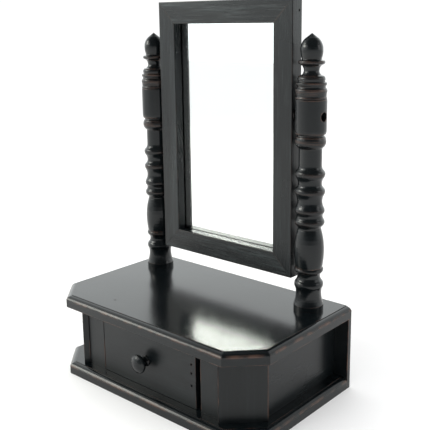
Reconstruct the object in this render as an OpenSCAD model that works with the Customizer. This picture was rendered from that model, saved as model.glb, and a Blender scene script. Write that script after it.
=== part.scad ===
// Countertop swing mirror: a small chest with one drawer, two turned posts standing on it,
// and a framed mirror that tips on two screws between the posts.
// Origin: middle of the chest's underside. +Z is up and the drawer opens towards -Y.

/* [Chest] */
// Width of the top and bottom boards
board_w = 330; // [300:1:360]
// Depth of the top and bottom boards
board_d = 194; // [180:1:220]
// Thickness of each board
board_t = 14.5; // [13:0.5:18]
// Height of the chest, from the table to the top of the top board
chest_h = 104; // [95:1:125]
// Leg of the clipped front corners of the boards
corner_clip = 36; // [28:1:40]
// Width of the moulded edge, seen from above
edge_w = 7; // [5:0.5:9]
// Drop of the moulded edge, from the flat to its nose
edge_drop = 4.5; // [3:0.5:6]
// Setback of the chest's front behind the boards' nose
front_setback = 17.5; // [14:0.5:22]
// Setback of the chest's sides behind the boards' nose
side_setback = 19; // [14:0.5:22]
// Setback of the angled corner boards behind the clipped nose
corner_setback = 18.9; // [17:0.1:20]
// Thickness of the stiles and side panels
panel_t = 10; // [8:1:12]
// Thickness of the angled corner boards
corner_t = 7.5; // [6:0.5:8]
// How far the corner boards' square edges stand proud of the front and the sides
corner_proud = 6; // [5.5:0.5:7]
// Thickness of the back panel
back_t = 6; // [5:0.5:8]

/* [Drawer] */
// Left end of the drawer front
drawer_left = -79.2; // [-84:0.1:-76]
// Right end of the drawer front
drawer_right = 75.6; // [72:0.1:78]
// Gap between the drawer's right end and the right stile
right_gap = 7.2; // [2:0.1:9]
// Gap between the drawer's left end and the left stile
left_gap = 0.8; // [0.5:0.1:3]
// Thickness of the drawer front
drawer_front_t = 12; // [10:1:14]
// Thickness of the drawer's sides and back
drawer_wall_t = 11; // [8:1:12]
// Thickness of the drawer's bottom
drawer_floor_t = 3; // [3:0.5:5]
// Diameter of the knob's head
knob_d = 22.5; // [19:0.5:25]
// Reach of the knob in front of the drawer
knob_reach = 18; // [17:0.5:24]
// Sideways place of the knob
knob_x = -5; // [-8:0.5:4]

/* [Posts] */
// Distance of each post's axis from the middle
post_x = 126; // [124:0.5:130]
// Distance of the posts' axis behind the middle
post_y = 63; // [55:1:68]
// Height of the tipping axis above the top board
pivot_up = 228.5; // [222:0.5:238]

/* [Mirror] */
// Overall width of the mirror's frame
frame_w = 212; // [200:1:212]
// Height of the frame's top edge above the tipping axis
frame_up = 129.5; // [110:0.5:150]
// Distance of the frame's bottom edge below the tipping axis
frame_down = 194; // [170:1:205]
// Width of the frame's rails, seen from the front
rail_w = 27; // [24:1:32]
// Depth of the frame, front to back
frame_t = 18; // [18:0.5:22]
// Depth of the recess in front of the glass
recess_d = 11.7; // [9:0.1:12]
// Thickness of the mirror glass
glass_t = 3; // [2:0.5:4]

/* [Hidden] */

$fn = 96;
cut = 1;                        // how far a cutting shape runs past what it cuts
arc_steps = 5;                  // straight stretches in each turned curve
press = 0.2;                    // how much smaller a screw's pilot hole is, in radius

paint = "#232426";
bare_wood = "#c9a877";
steel = "#9a9da1";

// Chest
edge_step = 0.7;                // small square step at the inner side of the moulding
front_y = -board_d / 2 + front_setback;
side_x = board_w / 2 - side_setback;
back_y = board_d / 2 - back_t;
floor_z = board_t;
ceiling_z = chest_h - board_t;
// Along a corner board's faces, x - y is constant, because it stands at 45 degrees.
corner_face = board_w / 2 + board_d / 2 - corner_clip - corner_setback * sqrt(2);
corner_back = corner_face - corner_t * sqrt(2);
guide_w = 12;
guide_h = 20;
guide_gap = 0.8;
guide_setback = 16;             // distance of the guides behind the stiles
dimple_r = 1.3;
dimple_depth = 0.6;
dimple_place = [-71, -67];

// Drawer
slide_gap = 0.4;
drawer_z = floor_z + slide_gap;
drawer_front_top = ceiling_z - 1;
drawer_wall_top = ceiling_z - 6;
drawer_back_y = back_y - slide_gap;
drawer_inner_y = front_y + drawer_front_t;
floor_up = 5;                   // height of the drawer floor above its lower edges
groove_d = 4;
groove_gap = 0.1;
knob_z = 49;
knob_foot_r = 7;
knob_neck_r = 5.2;
knob_under_r = 7.8;             // radius at the underside of the knob's head
knob_head_t = 9.5;
knob_crown = 3.4;               // height of the rounded crown on the knob's head
knob_crown_r = knob_d * 0.425;
knob_widest_up = 3.6;           // height of the head's widest place above its underside
knob_hole_r = 2;
knob_screw_r = 1.9;
knob_screw_in = 11;             // how far the screw reaches into the knob
knob_screw_head_r = 3.8;
knob_screw_head_t = 2;
brad_r = 0.9;
brad_l = 24;
brad_set = 1;                   // depth of a brad's head below the surface
brad_hole_r = 1.3;
drawer_brad_x = drawer_right - 6.5;
drawer_brad_z = [41.5, 56.5, 67];

// Posts: [height above the board, radius] at each turning point of the outline, first at the
// foot. Every second entry, from the first, is a widest or narrowest place; the entries
// between them are where two curves meet.
post_outline = [
  [0, 17.8], [6, 17.8], [20.4, 15], [26.6, 16], [30.7, 17.2], [34.6, 15.8],
  [40.4, 13.4], [45.4, 15.2], [48.6, 17], [51.2, 15.6], [72, 17.5], [96.6, 13.9],
  [98.4, 13.5], [101.8, 15.3], [106.2, 17.4], [109.6, 16.1], [113, 15.1], [116.2, 16],
  [119.5, 17.3], [123.6, 16.2], [130.5, 14.4], [138, 16.2], [142.3, 17.5], [146, 16],
  [151, 13.6], [157.5, 15.4], [162.8, 17.4], [166, 16.2], [172.4, 13.3], [180, 13.3],
  [190.6, 13.3], [193.6, 15.2], [199.5, 17.6], [205.2, 16.6], [206.8, 15.3], [208.2, 16.9],
  [212.5, 18], [230, 18], [246.6, 18], [247.6, 17.2], [248.6, 17.8], [249.8, 17.4],
  [251, 17.2], [254.6, 17.5], [257, 17.9], [259.4, 17.1], [261.3, 16.1], [262.8, 16.7],
  [264.9, 17.4], [266.4, 16.4], [267.4, 15.2], [268.5, 15.4], [270, 15.7], [274.2, 11.4],
  [279.2, 8.8], [285.8, 12], [288.3, 15], [290.6, 12.6], [291.8, 11.2], [293.4, 11.5],
  [302.3, 12.8], [314.5, 7.4]
];
post_shoulder = post_outline[len(post_outline) - 1];
post_h = 320;
post_body_r = 18;               // radius of the thick part that the screw goes through
tenon_r = 8;
tenon_l = 12;
tenon_gap = 0.05;

// Mirror
pivot_z = chest_h + pivot_up;
frame_top = pivot_z + frame_up;
frame_bottom = pivot_z - frame_down;
frame_front_y = post_y - frame_t / 2;
rebate_w = 6;                   // how far the front lip overlaps the glass
frame_round = 1;
pane_gap = 0.5;
backing_t = 2.3;
point_t = 0.8;
point_w = 6;
point_out = 4;
screw_r = 2.1;
screw_run_gap = 0.08;
screw_head_r = 4.2;
screw_head_t = 2.6;
screw_head_gap = 0.3;           // between the screw's head and the bottom of its bore
screw_in_frame = 20;
head_bore_r = 5.3;
head_bore_depth = 12;
slot_w = 1.1;
slot_depth = 1.2;
washer_r = 7.5;
washer_hole_r = 2.2;
washer_t = 1.6;
frame_brad_in = 13.5;           // distance of a corner brad from the frame's end
frame_brad_y = frame_front_y + 12.6;

function mix(a, b, t) = a + (b - a) * t;

// Points of a circular arc between a turning point (vertical tangent) and a joining point.
function arc_radius(turn, join) =
  (pow(join[0] - turn[0], 2) + pow(join[1] - turn[1], 2)) / (2 * (join[1] - turn[1]));
function arc_point(turn, join, t) =
  let (h = mix(turn[0], join[0], t), r = arc_radius(turn, join), up = h - turn[0])
    [h, turn[1] + r - sign(r) * sqrt(r * r - up * up)];
function curve_point(turn, join, t) =
  turn[1] == join[1] ? [mix(turn[0], join[0], t), turn[1]] : arc_point(turn, join, t);
function stretch(list, i) =
  let (rising = i % 2 == 0, turn = list[rising ? i : i + 1], join = list[rising ? i + 1 : i])
    [for (k = [0 : arc_steps - 1]) curve_point(turn, join, rising ? k / arc_steps : 1 - k / arc_steps)];
function turned(list) = [for (i = [0 : len(list) - 2]) each stretch(list, i)];

// Quarter circle of points for a rounded edge.
function rounding(centre, r, from) =
  [for (k = [0 : 4]) centre + r * [cos(from + 22.5 * k), sin(from + 22.5 * k)]];

// Points of a spherical end: from the place where it joins a turned outline to the tip on the axis.
function dome(join, tip) =
  let (h = tip - join[0], r = (h * h + join[1] * join[1]) / (2 * h), edge = asin(join[1] / r))
    [for (k = [0 : arc_steps]) let (a = edge * (1 - k / arc_steps)) [tip - r + r * cos(a), r * sin(a)]];

// Turns a list of [height, radius] points about the Z axis.
module turn_on_lathe(points) {
  rotate_extrude() polygon([for (p = points) [p[1], p[0]]]);
}

module both_sides() {
  children();
  mirror([1, 0, 0]) children();
}

// ---- Chest ----

module board_outline(rear_y) {
  x = board_w / 2;
  y = board_d / 2;
  polygon([
    [-x, rear_y], [-x, -y + corner_clip], [-x + corner_clip, -y],
    [x - corner_clip, -y], [x, -y + corner_clip], [x, rear_y]
  ]);
}

// What the moulding plane takes off, in section: outward is -X, and the nose is at the origin.
// The rounded part that it leaves is level where it meets the small step below the flat.
module moulding_waste() {
  bulge_h = edge_drop - edge_step;
  bulge_r = (edge_w * edge_w + bulge_h * bulge_h) / (2 * bulge_h);
  translate([-cut, bulge_h]) square([edge_w + cut, edge_step + cut]);
  difference() {
    translate([-cut, 0]) square([edge_w + cut, bulge_h + edge_step / 2]);
    intersection() {
      translate([edge_w, bulge_h - bulge_r]) circle(r = bulge_r);
      square([edge_w, bulge_h]);
    }
  }
}

// Runs the moulding waste along an edge: start is the left end seen from outside the board.
module mould_edge(start, heading, length, nose_z) {
  translate([start[0], start[1], nose_z])
    rotate([0, 0, heading])
      rotate([90, 0, 90])
        translate([0, 0, -2 * edge_w])
          linear_extrude(length + 4 * edge_w) moulding_waste();
}

module moulded_board(z, rear_y) {
  x = board_w / 2;
  y = board_d / 2;
  nose_z = z + board_t - edge_drop;
  clip_len = corner_clip * sqrt(2);
  difference() {
    translate([0, 0, z]) linear_extrude(board_t) board_outline(rear_y);
    mould_edge([-x + corner_clip, -y], 0, board_w - 2 * corner_clip, nose_z);
    both_sides() {
      mould_edge([x - corner_clip, -y], 45, clip_len, nose_z);
      mould_edge([x, -y + corner_clip], 90, board_d - corner_clip, nose_z);
    }
  }
}

module top_board() {
  color(paint) difference() {
    moulded_board(ceiling_z, board_d / 2);
    both_sides() translate([post_x, post_y, chest_h - tenon_l])
      cylinder(r = tenon_r + tenon_gap, h = tenon_l + cut);
    translate([dimple_place[0], dimple_place[1], chest_h - dimple_depth])
      cylinder(r = dimple_r, h = dimple_depth + cut);
  }
}

module bottom_board() {
  color(paint) moulded_board(0, back_y);
}

module standing(points) {
  color(paint) translate([0, 0, floor_z]) linear_extrude(ceiling_z - floor_z) polygon(points);
}

// Laps over the bottom board's back edge and reaches down to the table.
module back_panel() {
  color(paint) translate([-board_w / 2, back_y, 0]) cube([board_w, back_t, ceiling_z]);
}

// Bevelled in front, where the corner board lies against it.
module side_panel() {
  inner_x = side_x - panel_t;
  standing([
    [side_x, side_x - corner_back], [side_x, back_y],
    [inner_x, back_y], [inner_x, inner_x - corner_back]
  ]);
}

module corner_panel() {
  start_y = front_y - corner_proud;
  end_x = side_x + corner_proud;
  inward = corner_t / sqrt(2);
  standing([
    [corner_face + start_y, start_y], [end_x, end_x - corner_face],
    [end_x - inward, end_x - corner_face + inward],
    [corner_face + start_y - inward, start_y + inward]
  ]);
}

// Bevelled at its outer end, where the corner board lies against it.
module stile(inner_x) {
  inner_y = front_y + panel_t;
  standing([
    [inner_x, front_y], [corner_back + front_y, front_y],
    [corner_back + inner_y, inner_y], [inner_x, inner_y]
  ]);
}

module drawer_guide(x) {
  start = front_y + panel_t + guide_setback;
  color(bare_wood) translate([x, start, floor_z]) cube([guide_w, back_y - start, guide_h]);
}

// ---- Posts ----

module post() {
  color(paint) translate([post_x, post_y, chest_h]) difference() {
    turn_on_lathe(concat(
      [[-tenon_l, 0], [-tenon_l, tenon_r], [0, tenon_r]],
      turned(post_outline), [post_shoulder, [post_h, 0]]
    ));
    translate([-post_body_r - cut, 0, pivot_up]) rotate([0, 90, 0])
      cylinder(r = screw_r + screw_run_gap, h = 2 * (post_body_r + cut));
    translate([post_body_r - head_bore_depth, 0, pivot_up]) rotate([0, 90, 0])
      cylinder(r = head_bore_r, h = head_bore_depth + cut);
  }
}

// ---- Drawer ----

module facing_front(x, y, z) {
  translate([x, y, z]) rotate([90, 0, 0]) children();
}

module drawer_front() {
  color(paint) difference() {
    translate([drawer_left, front_y, drawer_z])
      cube([drawer_right - drawer_left, drawer_front_t, drawer_front_top - drawer_z]);
    translate([
      drawer_left + drawer_wall_t - groove_d, drawer_inner_y - groove_d, drawer_z + floor_up
    ])
      cube([
        drawer_right - drawer_left - 2 * (drawer_wall_t - groove_d), groove_d + cut,
        drawer_floor_t + 2 * groove_gap
      ]);
    facing_front(knob_x, drawer_inner_y + cut, knob_z)
      cylinder(r = knob_hole_r, h = drawer_front_t + 2 * cut);
    for (z = drawer_brad_z) facing_front(drawer_brad_x, front_y + brad_set, z)
      cylinder(r = brad_hole_r, h = brad_set + cut, $fn = 32);
  }
}

// A side wall with the floor's groove on its inner face; x is its outer face.
module drawer_side(outer_x, inward) {
  color(bare_wood) difference() {
    translate([min(outer_x, outer_x + inward * drawer_wall_t), drawer_inner_y, drawer_z])
      cube([drawer_wall_t, drawer_back_y - drawer_inner_y, drawer_wall_top - drawer_z]);
    translate([
      min(outer_x + inward * (drawer_wall_t - groove_d), outer_x + inward * (drawer_wall_t + cut)),
      drawer_inner_y - cut, drawer_z + floor_up
    ])
      cube([
        groove_d + cut, drawer_back_y - drawer_inner_y + 2 * cut,
        drawer_floor_t + 2 * groove_gap
      ]);
  }
}

// The back stands on the floor panel, between the side walls.
module drawer_back() {
  z = drawer_z + floor_up + drawer_floor_t + 2 * groove_gap;
  color(bare_wood) translate([drawer_left + drawer_wall_t, drawer_back_y - drawer_wall_t, z])
    cube([drawer_right - drawer_left - 2 * drawer_wall_t, drawer_wall_t, drawer_wall_top - z]);
}

module drawer_bottom() {
  in_groove = groove_d - 2 * groove_gap;
  color(bare_wood) translate([
    drawer_left + drawer_wall_t - in_groove, drawer_inner_y - in_groove,
    drawer_z + floor_up + groove_gap
  ])
    cube([
      drawer_right - drawer_left - 2 * drawer_wall_t + 2 * in_groove,
      drawer_back_y - drawer_inner_y + in_groove, drawer_floor_t
    ]);
}

module drawer_brads() {
  color(steel) for (z = drawer_brad_z) facing_front(drawer_brad_x, front_y + brad_set + brad_l, z)
    cylinder(r = brad_r, h = brad_l, $fn = 32);
}

module knob() {
  head = knob_reach - knob_head_t;
  crown = [knob_reach - knob_crown, knob_crown_r];
  outline = [
    [0, knob_foot_r], [head / 6, knob_foot_r - 0.4],
    [head * 0.55, knob_neck_r], [head, knob_under_r],
    [head + knob_widest_up, knob_d / 2], crown
  ];
  color(paint) facing_front(knob_x, front_y, knob_z) difference() {
    turn_on_lathe(concat([[0, 0]], turned(outline), dome(crown, knob_reach)));
    translate([0, 0, -cut]) cylinder(r = knob_screw_r - press, h = knob_screw_in + cut);
  }
}

module knob_screw() {
  color(steel) facing_front(knob_x, drawer_inner_y, knob_z) {
    cylinder(r = knob_screw_r, h = drawer_front_t + knob_screw_in);
    translate([0, 0, -knob_screw_head_t]) difference() {
      cylinder(r = knob_screw_head_r, h = knob_screw_head_t);
      translate([-knob_screw_head_r - cut, -slot_w / 2, -cut])
        cube([2 * (knob_screw_head_r + cut), slot_w, slot_depth + cut]);
    }
  }
}

// ---- Mirror ----

// Section of a frame member: first axis from the outer edge inwards, second from front to back.
module member_section() {
  r = frame_round;
  polygon(concat(
    rounding([r, r], r, 180),
    rounding([rail_w - r, r], r, 270),
    [
      [rail_w, recess_d], [rail_w - rebate_w, recess_d],
      [rail_w - rebate_w, frame_t]
    ],
    rounding([r, frame_t - r], r, 90)
  ));
}

module mitred(outline) {
  intersection() {
    children();
    translate([0, frame_front_y + frame_t + cut, 0]) rotate([90, 0, 0])
      linear_extrude(frame_t + 2 * cut) polygon(outline);
  }
}

// A rail along X whose outer edge is at height z; down is 1 for the top rail, -1 for the bottom.
module frame_rail(z, down) {
  x = frame_w / 2;
  inner_z = z - down * rail_w;
  color(paint)
    mitred([[-x, z], [x, z], [x - rail_w, inner_z], [-x + rail_w, inner_z]])
      translate([-x, frame_front_y, z]) rotate([0, 90, 0]) linear_extrude(frame_w)
        mirror([down > 0 ? 0 : 1, 0, 0]) member_section();
}

module frame_stile() {
  x = frame_w / 2;
  h = frame_top - frame_bottom;
  color(paint) difference() {
    mitred([
      [x, frame_bottom], [x, frame_top],
      [x - rail_w, frame_top - rail_w], [x - rail_w, frame_bottom + rail_w]
    ])
      translate([x, frame_front_y, frame_bottom]) linear_extrude(h) mirror([1, 0, 0]) member_section();
    translate([x - screw_in_frame, post_y, pivot_z]) rotate([0, 90, 0])
      cylinder(r = screw_r - press, h = screw_in_frame + cut);
    for (z = [frame_top - frame_brad_in, frame_bottom + frame_brad_in])
      translate([x - brad_set, frame_brad_y, z]) rotate([0, 90, 0])
        cylinder(r = brad_hole_r, h = brad_set + cut, $fn = 32);
  }
}

module frame_brads() {
  color(steel) both_sides() for (z = [frame_top - frame_brad_in, frame_bottom + frame_brad_in])
    translate([frame_w / 2 - brad_set - brad_l, frame_brad_y, z])
      rotate([0, 90, 0]) cylinder(r = brad_r, h = brad_l, $fn = 32);
}

module pane(y, t) {
  inset = rail_w - rebate_w + pane_gap;
  translate([-frame_w / 2 + inset, y, frame_bottom + inset])
    cube([frame_w - 2 * inset, t, frame_top - frame_bottom - 2 * inset]);
}

module mirror_glass() {
  color("#c4ccd0") pane(frame_front_y + recess_d, glass_t);
}

module backing_board() {
  color("#6f5134") pane(frame_front_y + recess_d + glass_t, backing_t);
}

// Flat points pushed into the rebate's walls behind the backing board.
module backing_points() {
  y = frame_front_y + recess_d + glass_t + backing_t;
  x = frame_w / 2 - rail_w + rebate_w;
  middle = (frame_top + frame_bottom) / 2;
  half_h = (frame_top - frame_bottom) / 2 - rail_w + rebate_w;
  color(steel) both_sides() for (up = [-half_h * 0.6, half_h * 0.6])
    translate([x - point_out, y, middle + up - point_w / 2]) cube([2 * point_out, point_t, point_w]);
  color(steel) for (end = [middle - half_h, middle + half_h])
    translate([-point_w / 2, y, end - point_out]) cube([point_w, point_t, 2 * point_out]);
}

module pivot_screw() {
  seat = post_x + post_body_r - head_bore_depth;
  start = frame_w / 2 - screw_in_frame;
  color(steel) translate([0, post_y, pivot_z]) rotate([0, 90, 0]) {
    translate([0, 0, start]) cylinder(r = screw_r, h = seat + screw_head_gap + slot_depth - start);
    translate([0, 0, seat + screw_head_gap]) difference() {
      cylinder(r = screw_head_r, h = screw_head_t);
      translate([-screw_head_r - cut, -slot_w / 2, screw_head_t - slot_depth])
        cube([2 * (screw_head_r + cut), slot_w, slot_depth + cut]);
    }
  }
}

module pivot_washer() {
  color(steel) translate([frame_w / 2, post_y, pivot_z]) rotate([0, 90, 0]) difference() {
    cylinder(r = washer_r, h = washer_t);
    translate([0, 0, -cut]) cylinder(r = washer_hole_r, h = washer_t + 2 * cut);
  }
}

top_board();
bottom_board();
back_panel();
mirror([1, 0, 0]) side_panel();  // side_panel_left
side_panel();  // side_panel_right
mirror([1, 0, 0]) corner_panel();  // corner_panel_left
corner_panel();  // corner_panel_right
mirror([1, 0, 0]) stile(left_gap - drawer_left);  // stile_left
stile(drawer_right + right_gap);  // stile_right
drawer_guide(drawer_left - guide_gap - guide_w);  // drawer_guide_left
drawer_guide(drawer_right + guide_gap);  // drawer_guide_right
mirror([1, 0, 0]) post();  // post_left
post();  // post_right
drawer_front();
drawer_side(drawer_left, 1);  // drawer_side_left
drawer_side(drawer_right, -1);  // drawer_side_right
drawer_back();
drawer_bottom();
drawer_brads();
knob();
knob_screw();
frame_rail(frame_top, 1);  // frame_rail_top
frame_rail(frame_bottom, -1);  // frame_rail_bottom
mirror([1, 0, 0]) frame_stile();  // frame_stile_left
frame_stile();  // frame_stile_right
frame_brads();
mirror_glass();
backing_board();
backing_points();
mirror([1, 0, 0]) pivot_screw();  // pivot_screw_left
pivot_screw();  // pivot_screw_right
mirror([1, 0, 0]) pivot_washer();  // pivot_washer_left
pivot_washer();  // pivot_washer_right
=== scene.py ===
import math

import bpy
from mathutils import Matrix, Vector

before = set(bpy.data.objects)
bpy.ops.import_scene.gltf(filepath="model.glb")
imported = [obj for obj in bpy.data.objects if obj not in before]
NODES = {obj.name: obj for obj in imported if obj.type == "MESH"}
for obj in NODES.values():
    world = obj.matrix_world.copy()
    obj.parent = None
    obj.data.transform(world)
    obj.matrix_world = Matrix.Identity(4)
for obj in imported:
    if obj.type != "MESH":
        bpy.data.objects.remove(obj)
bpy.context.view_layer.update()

X, Y, Z = 0, 1, 2

# ---- Colours, linear, and refractive indexes ----

PAINT = (0.0032, 0.0046, 0.0054)
PAINT_THIN = (0.024, 0.031, 0.032)
PAINT_IOR = 1.39
UNDERCOAT = (0.16, 0.08, 0.052)
BARE_WOOD = (0.42, 0.27, 0.15)
BARE_WOOD_DARK = (0.27, 0.155, 0.08)
BACKING = (0.16, 0.092, 0.048)
BACKING_DARK = (0.095, 0.052, 0.028)
STEEL = (0.36, 0.35, 0.33)
STEEL_STAINED = (0.16, 0.14, 0.12)
BLACK_STEEL = (0.05, 0.047, 0.045)
BLACK_STEEL_STAINED = (0.02, 0.018, 0.017)
SILVER = (0.93, 0.95, 0.945)
GLASS = (0.965, 0.98, 0.972)
GLASS_IOR = 1.52
FLOOR = (0.9, 0.9, 0.9)
FLOOR_MOTTLED = (0.88, 0.88, 0.88)
WHITE = (1.0, 1.0, 1.0)
COOL = (0.96, 1.0, 1.0)
KEY_COLOUR = (0.99, 1.0, 0.92)

# ---- The paint's grain and wear; lengths in metres ----

# How much the wood's grain roughens the paint, and how deep its pores are
GRAIN_DULLER = 0.10
PORE_DEPTH = 0.00022

# How many times sharper than the first worn edge a fully worn one is, how much duller it is,
# and how many times its own width away something has to be that shelters an edge from wear
EDGE_RANGE = 20
WORN_DULLER = 0.3
SHELTER_REACH = 2.5

# The posts' axes, and the plain thick part that the pivot screws go through
POST_X = 0.126
POST_Y = 0.063
PLAIN_MIDDLE = 0.3335
PLAIN_HALF = 0.020
PLAIN_FADE = 0.001

# The height where the posts' beads start, and the radii where their wear starts and is full
BEADS_FROM = 0.198
BEADS_FADE = 0.003
BEAD_FLANK_R = 0.0168
BEAD_CREST_R = 0.0178
BEAD_WEAR = 0.26

# Height of a moulding's nose above its board's underside, and of the top board above the bottom one
NOSE_UP = 0.010
BOARD_APART = 0.0895

# Distances from the nose where its wear is still full and where it ends
NOSE_FULL = 0.0004
NOSE_END = 0.0024
NOSE_WEAR = 0.42

# The gap between the mirror's pane and the wood round it
PANE_GAP = 0.0001

# ---- Camera, room and floor ----

# The camera, fitted to the photo's straight edges
CAMERA_AT = (0.58617, -0.60686, 0.43234)
CAMERA_LOOKS = (-0.63095, 0.74674, -0.21043)
CAMERA_UP = (-0.13070, 0.16504, 0.97759)
SENSOR = 36.0
LENS = 60.49
SHIFT = (-0.0569, -0.0790)

# How bright the room is to the camera, and to surfaces that it lights
ROOM_SEEN = 1.05
ROOM_SPREAD = 1.25

# What gloss reflects: a dark side of the room, and how that side ends, as the cosine of the angle
DARK_SIDE = (0.45, -0.45, 0.77)
DARK_ENDS = -0.1
DARK_FULL = 0.75
ROOM_BRIGHT = 1.95
ROOM_DARK = 0.08

FLOOR_HALF = 6.0


# ---- Node helpers ----

class Nodes:
    """Adds and joins the nodes of one material."""

    def __init__(self, name):
        self.material = bpy.data.materials.new(name)
        self.material.use_nodes = True
        self.tree = self.material.node_tree
        self.shader = self.tree.nodes["Principled BSDF"]

    def put(self, value, socket):
        if isinstance(value, bpy.types.NodeSocket):
            self.tree.links.new(value, socket)
        else:
            socket.default_value = value

    def add(self, kind, inputs=None, **settings):
        node = self.tree.nodes.new("ShaderNode" + kind)
        for key, value in settings.items():
            setattr(node, key, value)
        for key, value in (inputs or {}).items():
            self.put(value, node.inputs[key])
        return node

    def shade(self, inputs):
        """Sets or joins the shader's inputs, and gives the material."""
        for key, value in inputs.items():
            self.put(value, self.shader.inputs[key])
        return self.material

    def place(self, scale=(1, 1, 1)):
        """Object coordinates in metres, stretched by scale, so that textures move with their piece."""
        coords = self.add("TexCoord").outputs["Object"]
        return self.add("Mapping", {"Vector": coords, "Scale": scale}).outputs["Vector"]

    def noise(self, vector, scale, detail=3.0, roughness=0.55):
        inputs = {"Vector": vector, "Scale": scale, "Detail": detail, "Roughness": roughness}
        return self.add("TexNoise", inputs).outputs["Fac"]

    def span(self, value, low, high, to_low=0.0, to_high=1.0):
        """Maps low..high smoothly to to_low..to_high, clamped."""
        ends = {"From Min": low, "From Max": high, "To Min": to_low, "To Max": to_high}
        node = self.add("MapRange", {"Value": value, **ends}, interpolation_type="SMOOTHSTEP")
        return node.outputs["Result"]

    def math(self, operation, a, b=0.0):
        return self.add("Math", {0: a, 1: b}, operation=operation).outputs[0]

    def times(self, a, b):
        return self.math("MULTIPLY", a, b)

    def plus(self, a, b):
        return self.math("ADD", a, b)

    def minus(self, a, b):
        return self.math("SUBTRACT", a, b)

    def distance(self, a, b):
        """How far two numbers are apart."""
        return self.math("ABSOLUTE", self.minus(a, b))

    def mix(self, factor, a, b):
        """A colour between colour a, which may be a socket, and the plain colour b."""
        first = a if isinstance(a, bpy.types.NodeSocket) else (*a, 1.0)
        node = self.add("Mix", {0: factor}, data_type="RGBA")
        self.put(first, node.inputs[6])
        self.put((*b, 1.0), node.inputs[7])
        return node.outputs[2]

    def bump(self, height, distance, strength=1.0, below=None):
        inputs = {"Height": height, "Distance": distance, "Strength": strength}
        if below is not None:
            inputs["Normal"] = below
        return self.add("Bump", inputs).outputs["Normal"]

    def worn_edges(self, radius, low, high):
        """1 on edges that stick out by more than high, 0 below low and in corners."""
        rounded = self.add("Bevel", {"Radius": radius}, samples=6).outputs["Normal"]
        flat = self.add("NewGeometry").outputs["Normal"]
        same = self.add("VectorMath", {0: rounded, 1: flat}, operation="DOT_PRODUCT").outputs["Value"]
        edge = self.span(self.minus(1.0, same), low, high)
        nearby = self.add("AmbientOcclusion", {"Distance": radius * SHELTER_REACH}, samples=4)
        return self.times(edge, self.span(nearby.outputs["AO"], low=0.72, high=0.95))

    def worn_beads(self):
        """Wear on the posts' beads, which stand out most, and none on the plain thick part."""
        at = self.add("SeparateXYZ", {"Vector": self.place()}).outputs
        out = self.minus(self.math("ABSOLUTE", at["X"]), POST_X)
        back = self.minus(at["Y"], POST_Y)
        radius = self.math("SQRT", self.plus(self.times(out, out), self.times(back, back)))
        from_plain = self.distance(at["Z"], PLAIN_MIDDLE)
        beside = self.span(from_plain, PLAIN_HALF - PLAIN_FADE, PLAIN_HALF)
        above = self.span(at["Z"], BEADS_FROM - BEADS_FADE, BEADS_FROM + BEADS_FADE)
        crest = self.span(radius, BEAD_FLANK_R, BEAD_CREST_R, to_high=BEAD_WEAR)
        return self.times(self.times(crest, beside), above)

    def worn_nose(self):
        """Wear along the noses of the two boards' mouldings, and none on their flats and lower edges."""
        height = self.add("SeparateXYZ", {"Vector": self.place()}).outputs["Z"]
        in_top_board = self.math("GREATER_THAN", height, BOARD_APART / 2)
        above_board = self.minus(height, self.times(in_top_board, BOARD_APART))
        from_nose = self.distance(above_board, NOSE_UP)
        return self.span(from_nose, NOSE_FULL, NOSE_END, to_low=NOSE_WEAR, to_high=0.0)


# ---- Materials ----

def grain_scale(axis, along, across):
    """Texture scale for grain that runs along an axis."""
    return tuple(along if i == axis else across for i in (X, Y, Z))


def black_paint(name, axis, roughness, grain, wear=0.75, edge_r=0.0016, thin=0.25,
                worn_from=0.001, also_worn=None, blotches=(42, 42, 42)):
    """Satin black paint on wood, rubbed through to a red-brown undercoat along the edges.

    The wood's grain runs along axis and shows through by grain. Edges wear over edge_r, from
    those that turn more than worn_from, and wear is how bare they get. also_worn finds more
    worn places. blotches is the scale of the wear's patches, and thin is how streaky and pale
    the paint is, which on the mirror frame is partly painted light.
    """
    n = Nodes(name)
    fine = n.place(grain_scale(axis, along=9.0, across=150.0))
    wide = n.place(grain_scale(axis, along=5.0, across=60.0))
    fibres = n.noise(fine, scale=3.0, detail=5.0, roughness=0.62)
    figure = n.noise(wide, scale=1.0)
    patches = n.noise(n.place(blotches), scale=1.0, detail=4.0, roughness=0.6)
    cloud = n.noise(n.place(), scale=9.0, detail=2.0)

    edge = n.worn_edges(edge_r, worn_from, worn_from * EDGE_RANGE)
    if also_worn:
        edge = n.math("MAXIMUM", edge, also_worn(n))
    rubbed = n.times(n.times(edge, n.span(patches, low=0.4, high=0.62)), wear)
    streaks = n.times(n.span(fibres, low=0.5, high=0.74), thin)
    # Paler, thinner paint: real streaks along the grain, and on the mirror frame also painted light
    thinness_and_painted_light = n.plus(streaks, n.span(figure, low=0.45, high=0.8, to_high=thin))
    paint = n.mix(thinness_and_painted_light, PAINT, PAINT_THIN)

    gloss = n.span(cloud, low=0.3, high=0.7, to_low=roughness * 0.88, to_high=roughness * 1.15)
    gloss = n.plus(gloss, n.span(fibres, low=0.45, high=0.75, to_high=GRAIN_DULLER * grain))
    pores = n.bump(fibres, distance=PORE_DEPTH * grain)
    return n.shade({
        "Base Color": n.mix(rubbed, paint, UNDERCOAT),
        "IOR": PAINT_IOR,
        "Roughness": n.plus(gloss, n.times(edge, WORN_DULLER)),
        "Normal": n.bump(cloud, distance=0.0006, strength=0.35, below=pores),
    })


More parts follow.
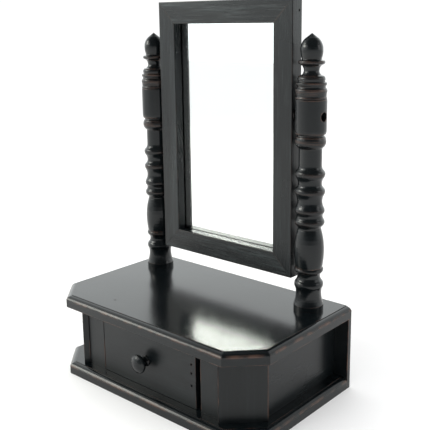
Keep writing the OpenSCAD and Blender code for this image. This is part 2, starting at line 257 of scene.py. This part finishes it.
def bare_wood(name, axis, light=BARE_WOOD, dark=BARE_WOOD_DARK, roughness=0.62):
    """Unfinished wood with straight grain and fine pores."""
    n = Nodes(name)
    wide = n.place(grain_scale(axis, along=3.0, across=75.0))
    fine = n.place(grain_scale(axis, along=14.0, across=420.0))
    rings = n.noise(wide, scale=1.3, detail=4.0, roughness=0.6)
    fibres = n.noise(fine, scale=2.0, detail=4.0, roughness=0.65)
    bands = n.span(rings, low=0.35, high=0.68, to_high=0.75)
    flecks = n.span(fibres, low=0.4, high=0.75, to_high=0.35)
    return n.shade({
        "Base Color": n.mix(n.plus(bands, flecks), light, dark),
        "Roughness": n.span(fibres, low=0.3, high=0.7, to_low=roughness, to_high=roughness + 0.18),
        "Normal": n.bump(fibres, distance=0.00012),
    })


def dull_steel(name, clean=STEEL, stained=STEEL_STAINED, roughness=0.28):
    """Dull steel with stains and fine scratches."""
    n = Nodes(name)
    scratches = n.noise(n.place((60, 60, 900)), scale=1.5, detail=4.0)
    stains = n.noise(n.place(), scale=260.0, detail=4.0)
    return n.shade({
        "Base Color": n.mix(n.span(stains, low=0.4, high=0.7), clean, stained),
        "Metallic": 1.0,
        "Roughness": n.span(scratches, low=0.3, high=0.7, to_low=roughness, to_high=roughness + 0.22),
        "Normal": n.bump(scratches, distance=0.00004),
    })


def clear_glass(name):
    """The mirror's clear pane."""
    return Nodes(name).shade({
        "Base Color": (*GLASS, 1.0),
        "Transmission Weight": 1.0,
        "IOR": GLASS_IOR,
        "Roughness": 0.0,
    })


def silvered(name):
    """The mirror's silver, with the least haze and waviness."""
    n = Nodes(name)
    waves = n.noise(n.place(), scale=6.0, detail=1.0)
    haze = n.noise(n.place(), scale=30.0, detail=4.0)
    return n.shade({
        "Base Color": (*SILVER, 1.0),
        "Metallic": 1.0,
        "Roughness": n.span(haze, low=0.45, high=0.8, to_low=0.008, to_high=0.03),
        "Normal": n.bump(waves, distance=0.00002, strength=0.3),
    })


def pale_floor(name):
    """A matt white floor, the least bit mottled."""
    n = Nodes(name)
    mottling = n.noise(n.place(), scale=5.0)
    return n.shade({
        "Base Color": n.mix(n.span(mottling, low=0.3, high=0.7), FLOOR, FLOOR_MOTTLED),
        "Roughness": 0.75,
        "Specular IOR Level": 0.25,
    })


# ---- Materials on the CAD nodes ----

def dress(material, *nodes):
    """Gives the nodes one material each, in place of what they had."""
    for node in nodes:
        materials = NODES[node].data.materials
        materials.clear()
        materials.append(material)


def silver_back(node, silver):
    """Silvers the pane's back face, and parts the pane from the wood that it touches."""
    pane = NODES[node]
    pane.data.materials.append(silver)
    for polygon in pane.data.polygons:
        if polygon.normal.y > 0.5:
            polygon.material_index = 1
    gap = pane.modifiers.new("hair_gap", "DISPLACE")
    gap.mid_level = 0.0
    gap.strength = -PANE_GAP


def dress_chest():
    boards = black_paint(
        "paint_boards", X, roughness=0.18, grain=0.2, wear=0.8, edge_r=0.002, thin=0.1,
        worn_from=0.02, also_worn=Nodes.worn_nose, blotches=(60, 60, 60),
    )
    uprights = black_paint("paint_uprights", Z, roughness=0.3, grain=0.25, wear=0.5, thin=0.12)
    turned = black_paint(
        "paint_turned", Z, roughness=0.21, grain=0.3, edge_r=0.0026, thin=0.1,
        worn_from=0.003, also_worn=Nodes.worn_beads, blotches=(45, 45, 520),
    )
    sides = black_paint("paint_sides", Y, roughness=0.25, grain=0.25, thin=0.12)
    # The drawer guides take the darker bare wood as painted shade, so the gap beside the drawer reads
    # dark where they show through it
    shaded_guides = bare_wood("wood_guides", Y, BARE_WOOD_DARK, BACKING, roughness=0.7)
    dress(boards, "top_board", "bottom_board")
    dress(black_paint("paint_back", X, roughness=0.34, grain=0.6), "back_panel")
    dress(sides, "side_panel_left", "side_panel_right")
    dress(uprights, "corner_panel_left", "corner_panel_right", "stile_left", "stile_right")
    dress(turned, "post_left", "post_right")
    dress(shaded_guides, "drawer_guide_left", "drawer_guide_right")


def dress_drawer():
    knob = black_paint("paint_knob", Y, roughness=0.22, grain=0.2, wear=0.5, worn_from=0.004)
    dress(black_paint("paint_front", X, roughness=0.3, grain=0.4, wear=0.2), "drawer_front")
    dress(knob, "knob")
    dress(bare_wood("wood_drawer_sides", Y), "drawer_side_left", "drawer_side_right")
    dress(bare_wood("wood_drawer_back", X), "drawer_back", "drawer_bottom")


def dress_mirror():
    # The frame's paint is thinner and paler than the chest's: partly real thin paint with grain streaks,
    # partly painted light. The rails are palest as painted light for the top rail lit from above, and
    # the bottom rail shares it.
    lit_rails = black_paint("paint_rails", X, roughness=0.28, grain=0.9, wear=0.12, thin=0.75)
    stiles = black_paint("paint_frame_stiles", Z, roughness=0.28, grain=0.8, wear=0.12, thin=0.45)
    backing = bare_wood("wood_backing", Z, BACKING, BACKING_DARK, roughness=0.75)
    dress(lit_rails, "frame_rail_top", "frame_rail_bottom")
    dress(stiles, "frame_stile_left", "frame_stile_right")
    dress(backing, "backing_board")
    dress(clear_glass("mirror_pane"), "mirror_glass")
    silver_back("mirror_glass", silvered("mirror_silver"))


def dress_metal():
    near_black = dull_steel("steel_blackened", BLACK_STEEL, BLACK_STEEL_STAINED, roughness=0.6)
    dress(dull_steel("steel_dull"), "knob_screw", "backing_points")
    dress(near_black, "drawer_brads", "frame_brads")
    # The pivot screws and washers take the same near-black steel as the brads
    dress(near_black, "pivot_screw_left", "pivot_screw_right", "pivot_washer_left", "pivot_washer_right")


# ---- Camera, floor and light ----

def add_object(name, data):
    obj = bpy.data.objects.new(name, data)
    bpy.context.scene.collection.objects.link(obj)
    return obj


def make_camera():
    data = bpy.data.cameras.new("camera")
    data.sensor_width = SENSOR
    data.lens = LENS
    data.shift_x, data.shift_y = SHIFT
    camera = add_object("camera", data)
    ahead = Vector(CAMERA_LOOKS).normalized()
    right = ahead.cross(Vector(CAMERA_UP)).normalized()
    turn = Matrix((right, right.cross(ahead), -ahead)).transposed().to_4x4()
    camera.matrix_world = Matrix.Translation(CAMERA_AT) @ turn
    bpy.context.scene.camera = camera


def make_floor():
    half = FLOOR_HALF
    mesh = bpy.data.meshes.new("floor")
    corners = [(-half, -half, 0), (half, -half, 0), (half, half, 0), (-half, half, 0)]
    mesh.from_pydata(corners, [], [(0, 1, 2, 3)])
    mesh.materials.append(pale_floor("pale_floor"))
    add_object("floor", mesh)


def soft_light(name, place, aim, size, radiance, colour=WHITE):
    """A rectangular soft light. Its power is set so that it shows with the given radiance."""
    data = bpy.data.lights.new(name, "AREA")
    data.shape = "RECTANGLE"
    data.size, data.size_y = size
    data.energy = radiance * math.pi * size[0] * size[1]
    data.color = colour
    light = add_object(name, data)
    light.location = place
    light.rotation_mode = "QUATERNION"
    light.rotation_quaternion = (Vector(aim) - Vector(place)).to_track_quat("-Z", "Y")


def background(tree, colour, strength):
    node = tree.nodes.new("ShaderNodeBackground")
    node.inputs["Color"].default_value = (*colour, 1.0)
    node.inputs["Strength"].default_value = strength
    return node


def either(tree, switch, when_off, when_on):
    """One shader where the switch is 0, and another where it is 1."""
    node = tree.nodes.new("ShaderNodeMixShader")
    tree.links.new(switch, node.inputs[0])
    tree.links.new(when_off.outputs[0], node.inputs[1])
    tree.links.new(when_on.outputs[0], node.inputs[2])
    return node


def shade_dark_side(tree, room):
    """Dims the room towards its dark side, which is above and in front, to the right."""
    toward = tree.nodes.new("ShaderNodeVectorMath")
    toward.operation = "DOT_PRODUCT"
    toward.inputs[1].default_value = Vector(DARK_SIDE).normalized()
    dim = tree.nodes.new("ShaderNodeMapRange")
    dim.interpolation_type = "SMOOTHSTEP"
    dim.inputs["From Min"].default_value = DARK_ENDS
    dim.inputs["From Max"].default_value = DARK_FULL
    dim.inputs["To Min"].default_value = ROOM_BRIGHT
    dim.inputs["To Max"].default_value = ROOM_DARK
    coords = tree.nodes.new("ShaderNodeTexCoord")
    tree.links.new(coords.outputs["Generated"], toward.inputs[0])
    tree.links.new(toward.outputs["Value"], dim.inputs["Value"])
    tree.links.new(dim.outputs["Result"], room.inputs["Strength"])


def make_world():
    """A white room: plain to the camera and to matt surfaces, and with a dark side in reflections."""
    world = bpy.data.worlds.new("room")
    world.use_nodes = True
    bpy.context.scene.world = world
    tree = world.node_tree
    seen = background(tree, WHITE, ROOM_SEEN)
    spread = background(tree, WHITE, ROOM_SPREAD)
    reflected = background(tree, COOL, ROOM_BRIGHT)
    shade_dark_side(tree, reflected)

    rays = tree.nodes.new("ShaderNodeLightPath").outputs
    indirect = either(tree, rays["Is Diffuse Ray"], reflected, spread)
    room = either(tree, rays["Is Camera Ray"], indirect, seen)
    tree.links.new(room.outputs[0], tree.nodes["World Output"].inputs["Surface"])


def make_lights():
    soft_light(
        "key_left", place=(-1.47, -1.17, 1.16), aim=(0, 0, 0.17), size=(0.98, 0.62),
        radiance=10.8, colour=KEY_COLOUR,
    )
    soft_light("front_left", place=(-0.75, -1.8, 1.1), aim=(0, 0, 0.25), size=(0.5, 0.8), radiance=2.5)
    soft_light("fill_right", place=(1.75, 0.75, 0.95), aim=(0, 0, 0.25), size=(0.7, 0.9), radiance=1.8)


dress_chest()
dress_drawer()
dress_mirror()
dress_metal()
make_camera()
make_floor()
make_world()
make_lights()
bpy.context.scene.view_settings.view_transform = "Standard"
